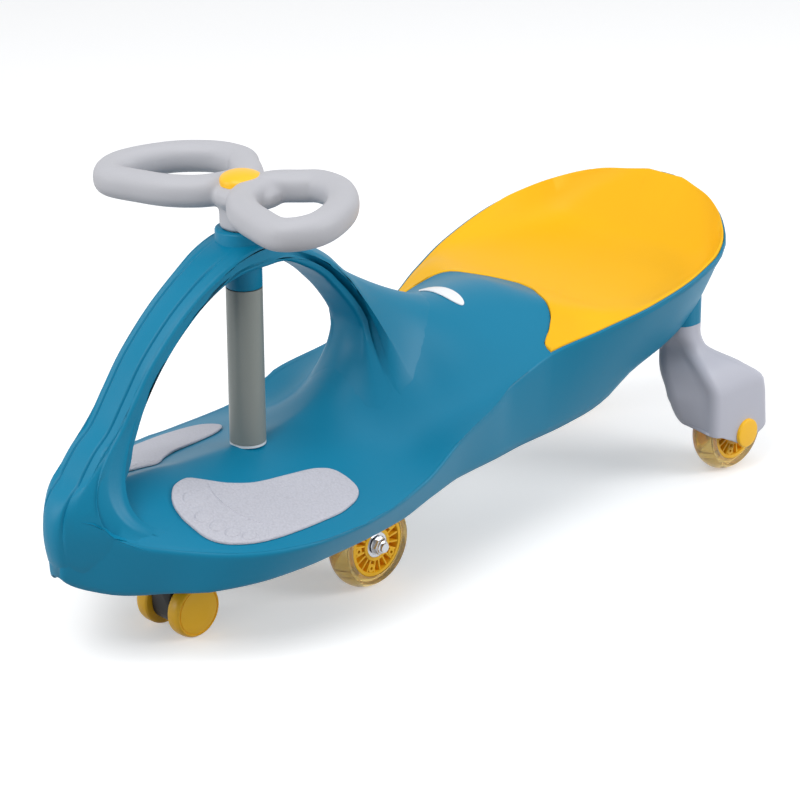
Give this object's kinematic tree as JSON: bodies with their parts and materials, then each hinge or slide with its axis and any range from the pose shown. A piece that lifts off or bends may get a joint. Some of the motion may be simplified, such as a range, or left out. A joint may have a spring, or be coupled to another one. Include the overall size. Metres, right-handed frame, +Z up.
{
  "type": "wiggle car",
  "caption": "Low ride-on wiggle car: flowing moulded body with a raised seat, an arch over a swinging steering column, a front truck with a swivel caster, and rear wheels on outrigger legs.",
  "frame": {"origin": "on the floor under the middle of the car", "axes": "+X to the nose, +Y to the rider's left, +Z up"},
  "size_m": [0.742, 0.2658, 0.3737],
  "materials": {
    "body_plastic": "satin moulded",
    "seat_plastic": "satin moulded",
    "grip_plastic": "fine grain moulded",
    "leg_plastic": "satin moulded",
    "pad_rubber": "pebbled",
    "badge_plastic": "glossy",
    "bush_plastic": "smooth",
    "sleeve_plastic": "satin",
    "truck_plastic": "fine grain moulded",
    "hub_plastic": "semi-gloss moulded",
    "tyre_clear": "clear amber, glossy",
    "light_module": "smooth",
    "steel": "plated"
  },
  "bodies": {
    "chassis": {"body_shell": "body_plastic", "underbody_cover": "body_plastic", "seat_liner": "seat_plastic", "left_foot_pad": "pad_rubber", "right_foot_pad": "pad_rubber", "badge_plate": "badge_plastic", "upper_bush": "bush_plastic", "lower_bush": "bush_plastic", "cover_screws": "steel", "left_rear_leg": "leg_plastic", "right_rear_leg": "leg_plastic", "leg_bolts": "steel", "left_rear_axle": "steel", "right_rear_axle": "steel", "rear_axle_nuts": "steel", "left_axle_cap": "hub_plastic", "right_axle_cap": "hub_plastic"},
    "steering": {"steering_wheel": "grip_plastic", "wheel_cap": "hub_plastic", "wheel_bolt": "steel", "steering_shaft": "steel", "column_sleeve": "sleeve_plastic", "thrust_washer": "bush_plastic", "truck_frame": "truck_plastic", "truck_bolt": "steel", "front_axle": "steel", "front_axle_nuts": "steel"},
    "left_front_wheel": {"left_front_tyre": "tyre_clear", "left_front_hub": "hub_plastic", "left_front_light_ring": "light_module", "left_front_bearings": "steel"},
    "right_front_wheel": {"right_front_tyre": "tyre_clear", "right_front_hub": "hub_plastic", "right_front_light_ring": "light_module", "right_front_bearings": "steel"},
    "left_rear_wheel": {"left_rear_tyre": "tyre_clear", "left_rear_hub": "hub_plastic", "left_rear_light_ring": "light_module", "left_rear_bearings": "steel"},
    "right_rear_wheel": {"right_rear_tyre": "tyre_clear", "right_rear_hub": "hub_plastic", "right_rear_light_ring": "light_module", "right_rear_bearings": "steel"},
    "caster": {"caster_housing": "truck_plastic", "caster_stem": "steel", "caster_clip": "steel", "caster_axle": "steel"},
    "left_caster": {"left_caster_wheel": "hub_plastic"},
    "right_caster": {"right_caster_wheel": "hub_plastic"}
  },
  "joints": [
    {"name": "steering_turn", "type": "hinge", "parent": "chassis", "child": "steering", "pos_m": [0.166, 0, 0.2], "axis": [0, 0, 1], "continuous": true},
    {"name": "left_front_spin", "type": "hinge", "parent": "steering", "child": "left_front_wheel", "pos_m": [0.08, 0.0515, 0.04], "axis": [0, 1, 0], "continuous": true},
    {"name": "right_front_spin", "type": "hinge", "parent": "steering", "child": "right_front_wheel", "pos_m": [0.08, -0.0515, 0.04], "axis": [0, 1, 0], "continuous": true},
    {"name": "left_rear_spin", "type": "hinge", "parent": "chassis", "child": "left_rear_wheel", "pos_m": [-0.331, 0.1045, 0.04], "axis": [0, 1, 0], "continuous": true},
    {"name": "right_rear_spin", "type": "hinge", "parent": "chassis", "child": "right_rear_wheel", "pos_m": [-0.331, -0.1045, 0.04], "axis": [0, 1, 0], "continuous": true},
    {"name": "caster_swivel", "type": "hinge", "parent": "steering", "child": "caster", "pos_m": [0.259, 0, 0.055], "axis": [0, 0, 1], "continuous": true},
    {"name": "left_caster_spin", "type": "hinge", "parent": "caster", "child": "left_caster", "pos_m": [0.247, 0.0194, 0.0235], "axis": [0, 1, 0], "continuous": true},
    {"name": "right_caster_spin", "type": "hinge", "parent": "caster", "child": "right_caster", "pos_m": [0.247, -0.0194, 0.0235], "axis": [0, 1, 0], "continuous": true}
  ]
}
